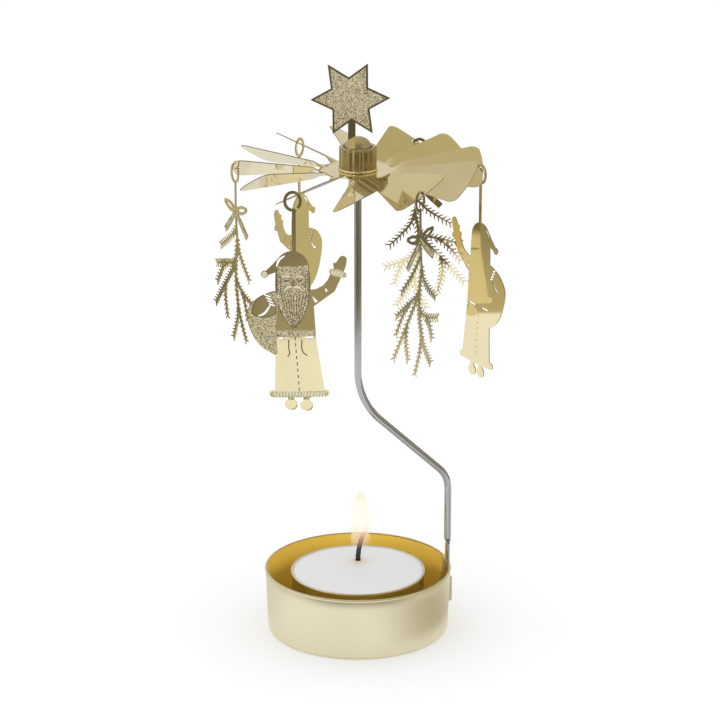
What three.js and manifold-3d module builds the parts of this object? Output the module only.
// Candle carousel: a tin cup holds a tealight, a bent wire rod stands on the cup, and a twelve-blade
// rotor turns on the rod's needle point with six flat ornaments hooked into its blades.
// Millimetres, +Z up. The origin is the centre of the cup's underside.
// Azimuths are in degrees about +Z: zero points along -Y, and they grow counter-clockwise from above.

import * as THREE from "three";
import { mergeVertices } from "three/addons/utils/BufferGeometryUtils.js";
import Module from "manifold-3d";

const wasm = await Module();
wasm.setup();

// Cup
const cupRimRadius = 26.25;
const cupFootRadius = 25.5;
const cupHeight = 18.2;
const cupCornerRadius = 1.5;
const cupWall = 0.4;
const cupHemHeight = 0.8;
const cupHemProud = 0.15;
const cupFacets = 56;

// Straps lanced out of the cup's wall, which hold the rod's flattened foot
const strapAzimuth = 103;
const strapHalfWidth = 2.0;
const strapBendRun = 0.7;
const strapLegRun = 1.0;
const strapClearance = 0.15;
const lowerStrapBottom = 6.0;
const lowerStrapTop = 13.0;
const upperStrapBottom = 14.0;
const strapSlit = 0.4;

// Rod
const rodDiameter = 2.0;
const rodFootRadius = 26.05;
const rodFootWidth = 3.1;
const rodFootThickness = 0.8;
const rodFootBottom = 6.4;
const rodFootTop = 22.6;
const rodFootShoulder = 1.6;
const rodLowerBend = 43.0;
const rodUpperBend = 67.2;
const rodLowerBendRadius = 8.0;
const rodUpperBendRadius = 20.0;
const rodTipHeight = 142.1;
const rodNeedleLength = 4.1;
const rodTipRadius = 0.1;
const rodSides = 10;
const rodBendSteps = 7;

// Tealight
const tealightDiameter = 38.0;
const tealightHeight = 16.7;
const tealightWall = 0.3;
const tealightHemRadius = 0.35;
const tealightFacets = 40;
const waxClearance = 0.1;
const waxDepthBelowRim = 0.25;
const wickOffset = 7.4;
const wickDiameter = 1.5;
const wickClearance = 0.15;
const wickLength = 8.3;
const wickLean = 1.6;
const sustainerRadius = 6.0;
const sustainerThickness = 0.3;
const sustainerNeckHeight = 2.2;

// Rotor as it stands at rest, turned about the rod
const rotorTurn = 1.2;

// Propeller, cut and twisted from one sheet
const bladeCount = 12;
const propellerRadius = 34.0;
const propellerSheet = 0.25;
const slitRootRadius = 9.5;
const slitWidth = 0.3;
const bladePitch = 28;
const bladeRise = 2;
const bladeTwistRun = 3.0;
const bladeCornerRadius = 2.2;
const bladeRootOverlap = 0.7;
const bladeRimShares = [0.6, 0.2];
const hookHoleDiameter = 1.7;
const hookHoleInset = 1.2;

// Bearing cap, riveted through the propeller
const needleGap = 0.2;
const capRadius = 3.7;
const capRise = 9.4;
const capDomeHeight = 2.9;
const capWall = 0.35;
const capCrown = 0.5;
const capNeckRadius = 3.3;
const capNeckClearance = 0.12;
const capLipRadius = 5.0;
const capBossRadius = 1.3;
const capBossDrop = 0.7;
const capSeatRadius = 0.6;
const capFacets = 24;

// Fluted collar
const collarCrestRadius = 5.08;
const collarFluteDepth = 0.3;
const collarInnerRadius = 4.6;
const collarHeight = 6.7;
const collarFlange = 0.35;
const collarFlutes = 18;

// Star
const starSheet = 0.3;
const starTipRadius = 11.0;
const starNotchRadius = 5.9;
const starPoints = 6;
const starAzimuth = -13.2;
const starLean = 4;
const starRise = 20.6;
const starSideShift = -1.25;
const starStemWidth = 2.0;
const starStemShift = -0.83;
const starStemRadius = 3.95;
const starStemSeat = 0.05;

// Ornaments
const ornamentSheet = 0.3;
const figureTurn = 30;
const sprigTurn = 27;
const rearSprigTurn = 36;
const ringHalfWidth = 2.05;
const ringHalfHeight = 2.42;
const ringStrip = 0.8;
const ringBladeRise = 1.2;
const ringGapStart = -70;
const ringGapEnd = -50;
const stemWidth = 1.0;
const stemShift = 0.3;

// Winter figure
const figureDrop = 61.5;
const figureHeight = 45.1;
const figureSlot = 0.65;

// Fir sprig
const sprigDrop = 50.3;
const sprigTwigWidth = 0.7;
const sprigNeedleLength = 1.0;
const sprigNeedlePitch = 2.7;
const ribbonWidth = 1.7;

const degree = Math.PI / 180;
const turn = 2 * Math.PI;
const cutOverrun = 1.0;

// Solids and geometries

function dropCollapsedTriangles(geometry) {
  const corners = geometry.index.array;
  const kept = [];
  for (let i = 0; i < corners.length; i += 3) {
    const [a, b, c] = [corners[i], corners[i + 1], corners[i + 2]];
    if (a !== b && b !== c && c !== a) kept.push(a, b, c);
  }
  return new Uint32Array(kept);
}

function toSolid(geometry) {
  const bare = new THREE.BufferGeometry();
  bare.setAttribute("position", geometry.attributes.position);
  bare.setIndex(geometry.index);
  const merged = mergeVertices(bare);
  const triVerts = dropCollapsedTriangles(merged);
  const vertProperties = new Float32Array(merged.attributes.position.array);
  return new wasm.Manifold(new wasm.Mesh({ numProp: 3, vertProperties, triVerts }));
}

function toGeometry(solid) {
  const { vertProperties, triVerts } = solid.getMesh();
  const geometry = new THREE.BufferGeometry();
  geometry.setAttribute("position", new THREE.BufferAttribute(vertProperties, 3));
  geometry.setIndex(new THREE.BufferAttribute(triVerts, 1));
  geometry.computeVertexNormals();
  return geometry;
}

function join(solids) {
  return solids.reduce((whole, next) => whole.add(next));
}

function makePart(name, solid, material) {
  const mesh = new THREE.Mesh(toGeometry(solid), material);
  mesh.name = name;
  return mesh;
}

// A closed profile of (radius, height) points turned about +Z.
function revolve(profile, facets) {
  const points = profile.map(([radius, height]) => new THREE.Vector2(radius, height));
  return toSolid(new THREE.LatheGeometry(points, facets).rotateX(Math.PI / 2));
}

// An upright prism on a plan outline, from one height to another.
function raise(outline, bottom, top) {
  const depth = top - bottom;
  const geometry = new THREE.ExtrudeGeometry(outline, { depth, bevelEnabled: false });
  return geometry.translate(0, 0, bottom);
}

// A flat sheet standing in the XZ plane, centred on it, drawn as seen from -Y.
function standingSheet(outline, thickness) {
  const geometry = new THREE.ExtrudeGeometry(outline, { depth: thickness, bevelEnabled: false });
  return toSolid(geometry.translate(0, 0, -thickness / 2).rotateX(Math.PI / 2));
}

function polygon(points) {
  return new THREE.Shape(points.map(([x, y]) => new THREE.Vector2(x, y)));
}

function circlePoints(centreX, centreY, radius, sides) {
  const angles = Array.from({ length: sides }, (_, i) => (turn * i) / sides);
  return angles.map((angle) => [centreX + radius * Math.cos(angle), centreY + radius * Math.sin(angle)]);
}

function arcPoints(centre, halfSizes, startAngle, endAngle, steps) {
  const at = (i) => (startAngle + ((endAngle - startAngle) * i) / steps) * degree;
  return Array.from({ length: steps + 1 }, (_, i) => [
    centre[0] + halfSizes[0] * Math.cos(at(i)),
    centre[1] + halfSizes[1] * Math.sin(at(i)),
  ]);
}

// A closed skin over rings of equal length, with its two ends closed by fans.
function loft(rings) {
  const width = rings[0].length;
  const positions = rings.flat().flatMap((point) => point.toArray());
  const corners = [];
  for (let r = 0; r + 1 < rings.length; r++) {
    for (let i = 0; i < width; i++) {
      const j = (i + 1) % width;
      const [a, b, c, d] = [r * width + i, r * width + j, (r + 1) * width + j, (r + 1) * width + i];
      corners.push(a, b, c, a, c, d);
    }
  }
  const last = (rings.length - 1) * width;
  for (let i = 1; i + 1 < width; i++) {
    corners.push(0, i + 1, i);
    corners.push(last, last + i, last + i + 1);
  }
  const geometry = new THREE.BufferGeometry();
  geometry.setAttribute("position", new THREE.Float32BufferAttribute(positions, 3));
  geometry.setIndex(corners);
  return toSolid(geometry);
}

// A path whose extrusion steps fall on the given stations instead of at equal lengths.
class StationPath extends THREE.Curve {
  constructor(stations) {
    super();
    this.stations = stations;
  }
  getPoint(share) {
    return this.between(share, "point");
  }
  getTangent(share) {
    return this.between(share, "heading").normalize();
  }
  getUtoTmapping(share) {
    return share;
  }
  between(share, key) {
    const place = share * (this.stations.length - 1);
    const index = Math.min(Math.floor(place + 1e-9), this.stations.length - 2);
    const [from, to] = [this.stations[index][key], this.stations[index + 1][key]];
    return from.clone().lerp(to, place - index);
  }
}

function tubeAlong(stations, radius, sides) {
  const outline = polygon(circlePoints(0, 0, radius, sides));
  const options = { steps: stations.length - 1, extrudePath: new StationPath(stations), bevelEnabled: false };
  return toSolid(new THREE.ExtrudeGeometry(outline, options));
}

const radialTurn = (azimuth) => (azimuth - 90) * degree;

// Cup

const cupWallTopRadius = cupRimRadius - cupHemProud;
const cupHemBottom = cupHeight - cupHemHeight;

function cupRadiusAt(height) {
  const share = (height - cupCornerRadius) / (cupHemBottom - cupCornerRadius);
  return cupFootRadius + (cupWallTopRadius - cupFootRadius) * share;
}

function cupShell() {
  const cornerCentre = [cupFootRadius - cupCornerRadius, cupCornerRadius];
  const innerCorner = cupCornerRadius - cupWall;
  const outside = [
    [0, 0],
    ...arcPoints(cornerCentre, [cupCornerRadius, cupCornerRadius], -90, 0, 3),
    [cupWallTopRadius, cupHemBottom],
    [cupRimRadius, cupHemBottom + cupHemProud],
    [cupRimRadius, cupHeight - cupHemProud],
    [cupWallTopRadius, cupHeight],
  ];
  const inside = [
    [cupWallTopRadius - cupWall, cupHeight - cupHemProud],
    ...arcPoints(cornerCentre, [innerCorner, innerCorner], 0, -90, 2),
    [0, cupWall],
  ];
  return revolve([...outside, ...inside], cupFacets);
}

// The plan of one strap: two legs that lie in the wall and a flat stretch that stands off it.
function strapPlan(wallRadius, offset) {
  const bendEnd = strapHalfWidth + strapBendRun;
  const legEnd = bendEnd + strapLegRun;
  const wallFace = (side) => Math.sqrt(wallRadius ** 2 - side ** 2);
  const half = [
    [wallFace(strapHalfWidth) + offset, strapHalfWidth],
    [wallFace(bendEnd), bendEnd],
    [wallFace(legEnd), legEnd],
  ];
  const mirrored = (points) => points.map(([x, y]) => [x, -y]).reverse();
  const outer = [...mirrored(half), ...half];
  const inner = outer.map(([x, y]) => [x - cupWall, y]).reverse();
  return polygon([...outer, ...inner]);
}

function buildBaseCup() {
  const windowHalf = strapHalfWidth + strapBendRun;
  const reach = 2 * cupWall + rodFootThickness;
  const windowPlan = polygon([
    [cupFootRadius - reach, -windowHalf],
    [cupRimRadius + reach, -windowHalf],
    [cupRimRadius + reach, windowHalf],
    [cupFootRadius - reach, windowHalf],
  ]);
  const bladeInside = rodFootRadius - rodFootThickness / 2 - strapClearance;
  const bladeOutside = rodFootRadius + rodFootThickness / 2 + strapClearance;
  const upperRadius = cupRadiusAt((upperStrapBottom + cupHeight) / 2);
  const lowerRadius = cupRadiusAt((lowerStrapBottom + lowerStrapTop) / 2);
  const faceRun = (radius) => Math.sqrt(radius ** 2 - strapHalfWidth ** 2);
  const upperOffset = bladeInside - faceRun(upperRadius);
  const lowerOffset = bladeOutside + cupWall - faceRun(lowerRadius);
  const place = (geometry) => toSolid(geometry.rotateZ(radialTurn(strapAzimuth)));
  const window = place(raise(windowPlan, lowerStrapBottom - strapSlit, cupHeight + cutOverrun));
  const upperStrap = place(raise(strapPlan(upperRadius, upperOffset), upperStrapBottom, cupHeight));
  const lowerStrap = place(raise(strapPlan(lowerRadius, lowerOffset), lowerStrapBottom, lowerStrapTop));
  return cupShell().subtract(window).add(upperStrap).add(lowerStrap);
}

// Rod, drawn in its own plane with x running out from the rotor's axis

function rodFoot() {
  const half = rodFootWidth / 2;
  const neck = rodDiameter / 2;
  const plan = polygon([
    [-half, rodFootBottom + half / 2],
    [-half / 2, rodFootBottom],
    [half / 2, rodFootBottom],
    [half, rodFootBottom + half / 2],
    [half, rodFootTop],
    [neck, rodFootTop + rodFootShoulder],
    [-neck, rodFootTop + rodFootShoulder],
    [-half, rodFootTop],
  ]);
  const sheet = new THREE.ExtrudeGeometry(plan, { depth: rodFootThickness, bevelEnabled: false });
  sheet.translate(0, 0, -rodFootThickness / 2).rotateX(Math.PI / 2).rotateZ(Math.PI / 2);
  return toSolid(sheet.translate(rodFootRadius, 0, 0));
}

function rodStations() {
  const corners = [
    new THREE.Vector3(rodFootRadius, 0, rodFootTop),
    new THREE.Vector3(rodFootRadius, 0, rodLowerBend),
    new THREE.Vector3(0, 0, rodUpperBend),
    new THREE.Vector3(0, 0, rodTipHeight - rodNeedleLength),
  ];
  const radii = [0, rodLowerBendRadius, rodUpperBendRadius, 0];
  const heading = (i) => corners[i + 1].clone().sub(corners[i]).normalize();
  const stations = [{ point: corners[0], heading: heading(0) }];
  for (const i of [1, 2]) {
    const [before, after] = [heading(i - 1), heading(i)];
    const swing = before.angleTo(after);
    const setback = radii[i] * Math.tan(swing / 2);
    const start = corners[i].clone().addScaledVector(before, -setback);
    const inward = after.clone().addScaledVector(before, -before.dot(after)).normalize();
    for (let step = 0; step <= rodBendSteps; step++) {
      const angle = (swing * step) / rodBendSteps;
      const point = start
        .clone()
        .addScaledVector(before, radii[i] * Math.sin(angle))
        .addScaledVector(inward, radii[i] * (1 - Math.cos(angle)));
      const along = before.clone().multiplyScalar(Math.cos(angle)).addScaledVector(inward, Math.sin(angle));
      stations.push({ point, heading: along });
    }
  }
  stations.push({ point: corners[3], heading: heading(2) });
  return stations;
}

function buildRod() {
  const radius = rodDiameter / 2;
  const shoulder = rodTipHeight - rodNeedleLength;
  const needle = [
    [0, shoulder - rodDiameter],
    [radius, shoulder - rodDiameter],
    [radius, shoulder],
    [rodTipRadius, rodTipHeight - rodTipRadius],
    [0, rodTipHeight],
  ];
  const tube = tubeAlong(rodStations(), radius, rodSides);
  return join([rodFoot(), tube, revolve(needle, rodSides)]);
}

// Tealight, drawn from its own underside

const tealightRadius = tealightDiameter / 2;
const waxTop = tealightHeight - waxDepthBelowRim;
const neckInnerRadius = wickDiameter / 2 + wickClearance;
const neckOuterRadius = neckInnerRadius + sustainerThickness;

function buildTealightCup() {
  const bodyRadius = tealightRadius - tealightHemRadius;
  const hemCentre = [tealightRadius - tealightHemRadius, tealightHeight - tealightHemRadius];
  const hemSizes = [tealightHemRadius, tealightHemRadius];
  return revolve(
    [
      [0, 0],
      [bodyRadius - tealightHemRadius, 0],
      [bodyRadius, tealightHemRadius],
      ...arcPoints(hemCentre, hemSizes, -90, 90, 3),
      [bodyRadius - tealightWall, tealightHeight - tealightHemRadius],
      [bodyRadius - tealightWall, tealightHemRadius + tealightWall],
      [bodyRadius - tealightHemRadius - tealightWall, tealightWall],
      [0, tealightWall],
    ],
    tealightFacets,
  );
}

function buildWax() {
  const radius = tealightRadius - tealightHemRadius - tealightWall - waxClearance;
  const block = revolve(
    [
      [0, tealightWall],
      [radius - tealightHemRadius, tealightWall],
      [radius, tealightWall + tealightHemRadius],
      [radius, waxTop],
      [0, waxTop],
    ],
    tealightFacets,
  );
  const pocketTop = sustainerThickness + wickClearance;
  const neckTop = sustainerNeckHeight + wickClearance;
  const hollow = revolve(
    [
      [0, -cutOverrun],
      [sustainerRadius + wickClearance, -cutOverrun],
      [sustainerRadius + wickClearance, pocketTop],
      [neckOuterRadius + wickClearance, pocketTop],
      [neckOuterRadius + wickClearance, neckTop],
      [neckInnerRadius, neckTop],
      [neckInnerRadius, waxTop + cutOverrun],
      [0, waxTop + cutOverrun],
    ],
    capFacets,
  );
  return block.subtract(hollow.translate([0, wickOffset, tealightWall]));
}

function buildSustainer() {
  const ring = [
    [neckInnerRadius, 0],
    [sustainerRadius, 0],
    [sustainerRadius, sustainerThickness],
    [neckOuterRadius, sustainerThickness],
    [neckOuterRadius, sustainerNeckHeight],
    [neckInnerRadius, sustainerNeckHeight],
    [neckInnerRadius, 0],
  ];
  return revolve(ring, capFacets);
}

function buildWick() {
  const foot = wickClearance;
  const waxFace = waxTop - tealightWall;
  const bendSteps = 5;
  const stations = [{ point: new THREE.Vector3(0, 0, foot), heading: new THREE.Vector3(0, 0, 1) }];
  for (let step = 0; step <= bendSteps; step++) {
    const share = step / bendSteps;
    const point = new THREE.Vector3(wickLean * share ** 2, 0, waxFace + wickLength * share);
    const heading = new THREE.Vector3(2 * wickLean * share, 0, wickLength).normalize();
    stations.push({ point, heading });
  }
  return tubeAlong(stations, wickDiameter / 2, rodSides);
}

// Propeller, drawn about its own disc's middle plane

function bladeHalfWidths() {
  const edgeAngle = Math.PI / bladeCount;
  const halfSlit = slitWidth / 2;
  const centreRadius = propellerRadius - bladeCornerRadius;
  const centreAngle = edgeAngle - Math.asin((bladeCornerRadius + halfSlit) / centreRadius);
  const centre = [centreRadius * Math.cos(centreAngle), centreRadius * Math.sin(centreAngle)];
  const straightEdge = (x) => x * Math.tan(edgeAngle) - halfSlit / Math.cos(edgeAngle);
  const twistSteps = 4;
  const root = slitRootRadius - bladeRootOverlap;
  const stations = [[root, straightEdge(root)]];
  for (let step = 0; step <= twistSteps; step++) {
    const x = slitRootRadius + (bladeTwistRun * step) / twistSteps;
    stations.push([x, straightEdge(x)]);
  }
  const cornerSteps = 3;
  const firstAngle = 90 + edgeAngle / degree;
  const lastAngle = centreAngle / degree;
  stations.push(...arcPoints(centre, [bladeCornerRadius, bladeCornerRadius], firstAngle, lastAngle, cornerSteps));
  for (const share of bladeRimShares) {
    const angle = centreAngle * share;
    stations.push([propellerRadius * Math.cos(angle), propellerRadius * Math.sin(angle)]);
  }
  return stations;
}

function bladePose(run) {
  const share = THREE.MathUtils.smoothstep(run, slitRootRadius, slitRootRadius + bladeTwistRun);
  const rise = Math.max(run - slitRootRadius, 0) * Math.tan(bladeRise * degree);
  return { pitch: bladePitch * degree * share, rise };
}

function bladeRing([run, half]) {
  const { pitch, rise } = bladePose(run);
  const thick = propellerSheet / 2;
  const corners = [
    [-half, -thick],
    [half, -thick],
    [half, thick],
    [-half, thick],
  ];
  return corners.map(([side, up]) => {
    const across = side * Math.cos(pitch) - up * Math.sin(pitch);
    const height = side * Math.sin(pitch) + up * Math.cos(pitch) + rise;
    return new THREE.Vector3(run, across, height);
  });
}

const hookHoleRadius = propellerRadius - hookHoleInset;
const hookHoleRise = bladePose(hookHoleRadius).rise;

function hookHole() {
  const outline = polygon(circlePoints(0, 0, hookHoleDiameter / 2, 12));
  const punch = raise(outline, -cutOverrun, cutOverrun).rotateX(bladePitch * degree);
  return toSolid(punch.translate(hookHoleRadius, 0, hookHoleRise));
}

function buildPropeller() {
  const plain = loft(bladeHalfWidths().map(bladeRing));
  const pierced = plain.subtract(hookHole());
  const disc = polygon(circlePoints(0, 0, slitRootRadius, 3 * bladeCount));
  disc.holes.push(polygon(circlePoints(0, 0, capNeckRadius + capNeckClearance, capFacets)));
  const sheet = toSolid(raise(disc, -propellerSheet / 2, propellerSheet / 2));
  const blades = Array.from({ length: bladeCount }, (_, i) => {
    const azimuth = (360 / bladeCount) * i;
    const blade = i % 2 === 1 ? pierced : plain;
    return blade.rotate([0, 0, azimuth - 90]);
  });
  return join([sheet, ...blades]);
}

// Hub

const flangeBottom = propellerSheet / 2;
const flangeTop = flangeBottom + collarFlange;

function buildBearingCap() {
  const domeCentre = [0, capRise - capDomeHeight];
  const innerDome = [capRadius - capWall, capDomeHeight - capWall];
  const bossShare = capBossRadius / innerDome[0];
  const bossAngle = Math.acos(bossShare) / degree;
  const seat = capRise - capCrown;
  const lipTop = -propellerSheet / 2;
  const shoulderTop = flangeTop + capWall;
  return revolve(
    [
      [0, seat],
      [capSeatRadius, seat - capBossDrop],
      [capBossRadius, seat - capBossDrop],
      ...arcPoints(domeCentre, innerDome, bossAngle, 0, 3),
      [capRadius - capWall, shoulderTop],
      [capNeckRadius - capWall, shoulderTop],
      [capNeckRadius - capWall, lipTop - capWall],
      [capLipRadius, lipTop - capWall],
      [capLipRadius, lipTop],
      [capNeckRadius, lipTop],
      [capNeckRadius, flangeTop],
      [capRadius, flangeTop],
      ...arcPoints(domeCentre, [capRadius, capDomeHeight], 0, 90, 6),
    ],
    capFacets,
  );
}

function buildCollar() {
  const samples = 4 * collarFlutes;
  const outline = Array.from({ length: samples }, (_, i) => {
    const angle = (turn * i) / samples;
    const dip = (1 - Math.cos(collarFlutes * angle)) / 2;
    const radius = collarCrestRadius - collarFluteDepth * dip;
    return [radius * Math.cos(angle), radius * Math.sin(angle)];
  });
  const hollow = polygon(circlePoints(0, 0, collarInnerRadius, 2 * collarFlutes));
  const wall = polygon(outline);
  wall.holes.push(hollow);
  const flange = polygon(circlePoints(0, 0, (collarInnerRadius + collarCrestRadius - collarFluteDepth) / 2, samples));
  flange.holes.push(polygon(circlePoints(0, 0, capNeckRadius + capNeckClearance, capFacets)));
  const wallSolid = toSolid(raise(wall, flangeBottom, flangeBottom + collarHeight));
  return wallSolid.add(toSolid(raise(flange, flangeBottom, flangeTop)));
}

function buildStar() {
  const corners = Array.from({ length: 2 * starPoints }, (_, i) => {
    const angle = (turn * i) / (2 * starPoints) + starLean * degree;
    const radius = i % 2 === 0 ? starTipRadius : starNotchRadius;
    return [starSideShift + radius * Math.cos(angle), starRise + radius * Math.sin(angle)];
  });
  const half = starStemWidth / 2;
  const foot = flangeTop + starStemSeat;
  const stem = polygon([
    [starStemShift - half, foot],
    [starStemShift + half, foot],
    [starStemShift + half, starRise - starNotchRadius / 2],
    [starStemShift - half, starRise - starNotchRadius / 2],
  ]);
  return standingSheet(polygon(corners), starSheet).add(standingSheet(stem, starSheet));
}

// Hook ring and stem. The ornament's own origin is its ring's centre, and its sheet stands in the
// XZ plane.

const ringTop = ringHalfHeight + ringStrip / 2;

// The place in the ornament's own plane where its ring passes through the sloping blade.
function ringCrossing(sheetTurn) {
  const across = Math.cos(sheetTurn * degree) * Math.tan(bladePitch * degree);
  const slope = across - Math.sin(sheetTurn * degree) * Math.tan(bladeRise * degree);
  const square = 1 / ringHalfWidth ** 2 + slope ** 2 / ringHalfHeight ** 2;
  const linear = (2 * ringBladeRise * slope) / ringHalfHeight ** 2;
  const constant = ringBladeRise ** 2 / ringHalfHeight ** 2 - 1;
  const side = (-linear + Math.sqrt(linear ** 2 - 4 * square * constant)) / (2 * square);
  return [side, ringBladeRise + slope * side];
}

const plate = (outline) => standingSheet(outline, ornamentSheet);
const plateCut = (outline) => standingSheet(outline, ornamentSheet + cutOverrun);

function hookRing() {
  const half = ringStrip / 2;
  const outer = [ringHalfWidth + half, ringHalfHeight + half];
  const inner = [ringHalfWidth - half, ringHalfHeight - half];
  const gapEnd = ringGapStart + 360;
  const outline = [
    ...arcPoints([0, 0], outer, ringGapEnd, gapEnd, 18),
    ...arcPoints([0, 0], inner, gapEnd, ringGapEnd, 14),
  ];
  return plate(polygon(outline));
}

function hangerStem(bottom, width) {
  const half = width / 2;
  const outline = [
    [stemShift - half, bottom],
    [stemShift + half, bottom],
    [stemShift + half, -ringHalfHeight],
    [stemShift - half, -ringHalfHeight],
  ];
  return plate(polygon(outline));
}

// A strip of changing width along a smooth middle line.
function strip(middle, halfWidths, steps) {
  const line = new THREE.CatmullRomCurve3(middle.map(([x, y]) => new THREE.Vector3(x, y, 0)));
  const left = [];
  const right = [];
  for (let step = 0; step <= steps; step++) {
    const share = step / steps;
    const point = line.getPoint(share);
    const along = line.getTangent(share);
    const place = share * (halfWidths.length - 1);
    const index = Math.min(Math.floor(place), halfWidths.length - 2);
    const half = THREE.MathUtils.lerp(halfWidths[index], halfWidths[index + 1], place - index);
    left.push([point.x - along.y * half, point.y + along.x * half]);
    right.push([point.x + along.y * half, point.y - along.x * half]);
  }
  return polygon([...right, ...left.reverse()]);
}

function smoothOutline(points, segments) {
  const line = new THREE.CatmullRomCurve3(
    points.map(([x, y]) => new THREE.Vector3(x, y, 0)),
    true,
  );
  return polygon(line.getPoints(segments).slice(0, -1).map((point) => [point.x, point.y]));
}

// Winter figure. Its drawing is in shares of its height, from the middle of its soles.

const figureBase = ringTop - figureDrop;
const onFigure = (points) => points.map(([x, y]) => [stemShift + x * figureHeight, figureBase + y * figureHeight]);
const figureSize = (share) => share * figureHeight;

const coatShares = [
  [-0.121, 0.105],
  [0.182, 0.105],
  [0.128, 0.45],
  [0.115, 0.66],
  [0.09, 0.755],
  [-0.092, 0.755],
  [-0.11, 0.66],
  [-0.112, 0.45],
];
const beardShares = [
  [-0.11, 0.87],
  [-0.107, 0.7],
  [-0.055, 0.57],
  [-0.008, 0.515],
  [0.052, 0.58],
  [0.093, 0.7],
  [0.093, 0.87],
];
const sackShares = [
  [-0.098, 0.75],
  [-0.178, 0.735],
  [-0.243, 0.69],
  [-0.281, 0.625],
  [-0.264, 0.53],
  [-0.213, 0.43],
  [-0.155, 0.382],
  [-0.098, 0.36],
  [-0.048, 0.5],
];
const armpitShares = [
  [0.104, 0.715],
  [0.108, 0.68],
  [0.13, 0.662],
];
const hem = {
  lineShares: [
    [-0.134, 0.118],
    [0.025, 0.116],
    [0.186, 0.12],
  ],
  halfShares: [0.021, 0.021],
};
const capDome = { centreShare: [-0.012, 0.892], sizeShares: [0.1, 0.107], topShare: 0.96 };
const capTail = {
  lineShares: [
    [-0.053, 0.93],
    [-0.115, 0.895],
    [-0.17, 0.86],
  ],
  halfShares: [0.05, 0.025, 0.012],
};
const bobble = { centreShare: [-0.174, 0.859], sizeShare: 0.021 };
const raisedArm = {
  lineShares: [
    [0.063, 0.712],
    [0.158, 0.728],
    [0.222, 0.78],
    [0.256, 0.87],
  ],
  halfShares: [0.045, 0.041, 0.034, 0.036],
};
const mitten = {
  lineShares: [
    [0.256, 0.86],
    [0.268, 0.9],
    [0.29, 0.958],
  ],
  halfShares: [0.024, 0.03, 0.031, 0.02],
};
const cuff = {
  lineShares: [
    [0.219, 0.872],
    [0.257, 0.864],
    [0.293, 0.85],
  ],
  halfShares: [0.013, 0.022, 0.022, 0.013],
};
const thumb = {
  lineShares: [
    [0.243, 0.88],
    [0.236, 0.92],
  ],
  halfShares: [0.009, 0.007],
};
const boots = { centreShares: [[-0.022, 0.051], [0.07, 0.045]], sizeShares: [0.039, 0.033], legHalfShare: 0.02 };
const capSlot = {
  lineShares: [
    [-0.104, 0.905],
    [-0.088, 0.945],
    [-0.054, 0.972],
  ],
  steps: 6,
};
const sackSlot = {
  lineShares: [
    [-0.214, 0.602],
    [-0.176, 0.62],
    [-0.141, 0.67],
  ],
  steps: 6,
};
const pockets = [
  [
    [-0.092, 0.464],
    [-0.036, 0.466],
  ],
  [
    [0.047, 0.468],
    [0.105, 0.47],
  ],
];

const figureStrip = (piece, steps) => strip(onFigure(piece.lineShares), piece.halfShares.map(figureSize), steps);

function figureBoot(centreShare) {
  const [[centreX, centreY]] = onFigure([centreShare]);
  const leg = figureSize(boots.legHalfShare);
  const ankle = figureBase + figureSize(hem.lineShares[0][1]);
  const legOutline = [
    [centreX - leg, centreY],
    [centreX + leg, centreY],
    [centreX + leg, ankle],
    [centreX - leg, ankle],
  ];
  const foot = arcPoints([centreX, centreY], boots.sizeShares.map(figureSize), 0, 345, 14);
  return plate(polygon(foot)).add(plate(polygon(legOutline)));
}

function figureBody() {
  const [capCentre] = onFigure([capDome.centreShare]);
  const [bobbleCentre] = onFigure([bobble.centreShare]);
  const dome = arcPoints(capCentre, capDome.sizeShares.map(figureSize), -20, 200, 16);
  const outlines = [
    polygon(onFigure(coatShares)),
    polygon(onFigure(beardShares)),
    polygon(dome),
    polygon(circlePoints(...bobbleCentre, figureSize(bobble.sizeShare), 12)),
    smoothOutline(onFigure(sackShares), 30),
    figureStrip(hem, 2),
    figureStrip(capTail, 5),
    figureStrip(raisedArm, 8),
    figureStrip(cuff, 5),
    figureStrip(mitten, 6),
    figureStrip(thumb, 2),
  ];
  return join([...outlines.map(plate), ...boots.centreShares.map(figureBoot)]);
}

function figureCuts() {
  const half = figureSlot / 2;
  const tapered = [half / 2, half, half / 2];
  const outlines = [
    ...[capSlot, sackSlot].map((slot) => strip(onFigure(slot.lineShares), tapered, slot.steps)),
    ...pockets.map((pocketShares) => strip(onFigure(pocketShares), [half, half], 1)),
    polygon(onFigure(armpitShares)),
  ];
  return join(outlines.map(plateCut));
}

function buildFigure() {
  const capTop = figureBase + figureSize(capDome.topShare);
  return join([hookRing(), hangerStem(capTop, stemWidth), figureBody()]).subtract(figureCuts());
}

// Fir sprig. Its drawing is in shares of its drop, from the top of its ring.

const onSprig = (points) => points.map(([x, y]) => [stemShift + x * sprigDrop, ringTop - y * sprigDrop]);

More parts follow.
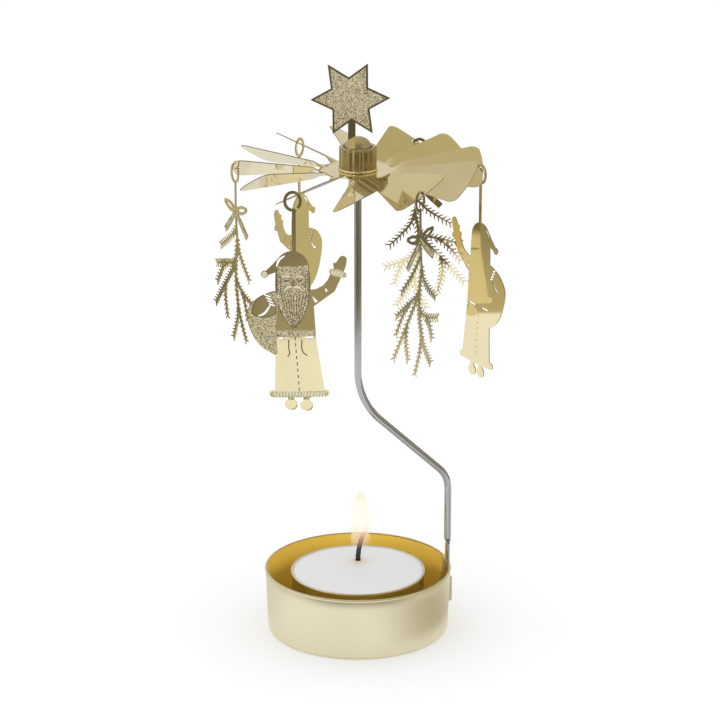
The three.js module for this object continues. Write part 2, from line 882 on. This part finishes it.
const mainTwigShares = [
  [0.0, 0.33],
  [0.014, 0.43],
  [-0.006, 0.58],
  [0.018, 0.81],
  [-0.046, 0.985],
];
const needleStepShare = 0.85;
const needleTaperShare = 0.35;
const twigShares = [
  [[0.004, 0.355], [-0.062, 0.42], [-0.182, 0.497]],
  [[0.014, 0.41], [0.045, 0.5], [0.155, 0.612]],
  [[-0.005, 0.54], [-0.11, 0.583], [-0.235, 0.617]],
  [[-0.11, 0.583], [-0.19, 0.65], [-0.24, 0.715]],
  [[-0.006, 0.56], [-0.13, 0.69], [-0.262, 0.842]],
  [[-0.13, 0.69], [-0.143, 0.78], [-0.118, 0.888]],
  [[-0.004, 0.645], [0.07, 0.705], [0.175, 0.738]],
  [[0.06, 0.7], [0.105, 0.765], [0.128, 0.835]],
  [[0.016, 0.8], [0.06, 0.885], [0.113, 0.965]],
];
const bow = {
  centreShare: [0, 0.266],
  loopTipShares: [
    [0.122, 0.233],
    [-0.122, 0.236],
  ],
  loopHalfShares: [0.012, 0.024, 0.026, 0.014],
  slitHalfShares: [0.003, 0.008, 0.009, 0.003],
  slitEndShares: [0.35, 0.86],
  tailShares: [
    [[0, 0.266], [0.065, 0.325], [0.137, 0.385]],
    [[0, 0.266], [-0.065, 0.335], [-0.13, 0.397]],
  ],
};

// A twig with saw-tooth needles that lean towards its tip.
function needledTwig(points) {
  const needle = sprigNeedleLength;
  const line = new THREE.CatmullRomCurve3(points.map(([x, y]) => new THREE.Vector3(x, y, 0)));
  const count = Math.max(2, Math.round(line.getLength() / sprigNeedlePitch));
  const edges = [1, -1].map((side) => {
    const edge = [];
    for (let i = 0; i < count; i++) {
      for (const [share, reach] of [[i / count, 0], [(i + needleStepShare) / count, needle]]) {
        const point = line.getPointAt(share);
        const along = line.getTangentAt(share);
        const half = sprigTwigWidth / 2 + reach * (1 - (needleTaperShare * i) / count);
        const lead = reach / 2;
        edge.push([
          point.x + side * along.y * half + along.x * lead,
          point.y - side * along.x * half + along.y * lead,
        ]);
      }
    }
    return edge;
  });
  const tip = line.getPointAt(1);
  const ahead = line.getTangentAt(1);
  const end = [tip.x + (ahead.x * needle) / 2, tip.y + (ahead.y * needle) / 2];
  return plate(polygon([...edges[0], end, ...edges[1].reverse()]));
}

function buildBow() {
  const [centre] = onSprig([bow.centreShare]);
  const between = (end, share) => centre.map((from, axis) => from + (end[axis] - from) * share);
  const widths = (halfShares) => halfShares.map((share) => share * sprigDrop);
  const loops = onSprig(bow.loopTipShares).map((tip) => {
    const loop = plate(strip([centre, between(tip, 0.5), tip], widths(bow.loopHalfShares), 7));
    const [start, end] = bow.slitEndShares.map((share) => between(tip, share));
    const slit = strip([start, end], widths(bow.slitHalfShares), 5);
    return loop.subtract(plateCut(slit));
  });
  const half = ribbonWidth / 2;
  const tails = bow.tailShares.map((points) => plate(strip(onSprig(points), [half / 2, half, half], 3)));
  const knot = plate(polygon(circlePoints(...centre, half, 12)));
  return join([...loops, ...tails, knot]);
}

function buildSprig() {
  const mainLine = onSprig(mainTwigShares);
  const twigs = [mainLine, ...twigShares.map(onSprig)].map(needledTwig);
  const bareTwig = hangerStem(mainLine[0][1], sprigTwigWidth);
  return join([hookRing(), bareTwig, ...twigs, buildBow()]);
}

// Materials

const finish = (color, roughness, metalness) => new THREE.MeshStandardMaterial({ color, roughness, metalness });
const satinBrass = finish("#d9cfa8", 0.38, 1);
const brightBrass = finish("#d8b65a", 0.16, 1);
const polishedBrass = finish("#c9b37a", 0.14, 1);
const rodSteel = finish("#8d8c8a", 0.32, 1);
const candleTin = finish("#b3a892", 0.3, 1);
const paraffin = finish("#f4f2ee", 0.55, 0);
const charredCotton = finish("#2b1c14", 0.9, 0);

// Assembly

const carousel = new THREE.Group();
carousel.add(makePart("base_cup", buildBaseCup(), satinBrass));
const rod = makePart("rod", buildRod(), rodSteel);
rod.rotation.z = radialTurn(strapAzimuth);
carousel.add(rod);

const tealight = new THREE.Group();
tealight.position.z = cupWall;
tealight.add(makePart("tealight_cup", buildTealightCup(), candleTin));
tealight.add(makePart("candle_wax", buildWax(), paraffin));
const wick = makePart("wick", buildWick(), charredCotton);
const sustainer = makePart("wick_sustainer", buildSustainer(), candleTin);
for (const part of [wick, sustainer]) {
  part.position.set(0, wickOffset, tealightWall);
  tealight.add(part);
}
carousel.add(tealight);

const rotor = new THREE.Group();
rotor.position.z = rodTipHeight + needleGap + capCrown - capRise;
rotor.rotation.z = rotorTurn * degree;
rotor.add(makePart("propeller", buildPropeller(), polishedBrass));
rotor.add(makePart("bearing_cap", buildBearingCap(), polishedBrass));
rotor.add(makePart("fluted_collar", buildCollar(), brightBrass));
const star = makePart("star", buildStar(), polishedBrass);
star.rotation.z = starAzimuth * degree;
star.position.set(
  starStemRadius * Math.sin(starAzimuth * degree),
  -starStemRadius * Math.cos(starAzimuth * degree),
  0,
);
rotor.add(star);

function hang(name, solid, azimuth, sheetTurn) {
  const ornament = makePart(name, solid, polishedBrass);
  const [side, rise] = ringCrossing(sheetTurn);
  const heading = (azimuth + sheetTurn) * degree;
  ornament.position.set(
    hookHoleRadius * Math.sin(azimuth * degree) - side * Math.cos(heading),
    -hookHoleRadius * Math.cos(azimuth * degree) - side * Math.sin(heading),
    hookHoleRise - rise,
  );
  ornament.rotation.z = heading;
  rotor.add(ornament);
}

const figure = buildFigure();
const sprig = buildSprig();
hang("figure_front", figure, -30, figureTurn);
hang("figure_right", figure, 90, figureTurn);
hang("figure_rear", figure, 210, figureTurn);
hang("sprig_front", sprig, 30, sprigTurn);
hang("sprig_rear", sprig, 150, rearSprigTurn);
hang("sprig_left", sprig, 270, sprigTurn);
carousel.add(rotor);

export default carousel;
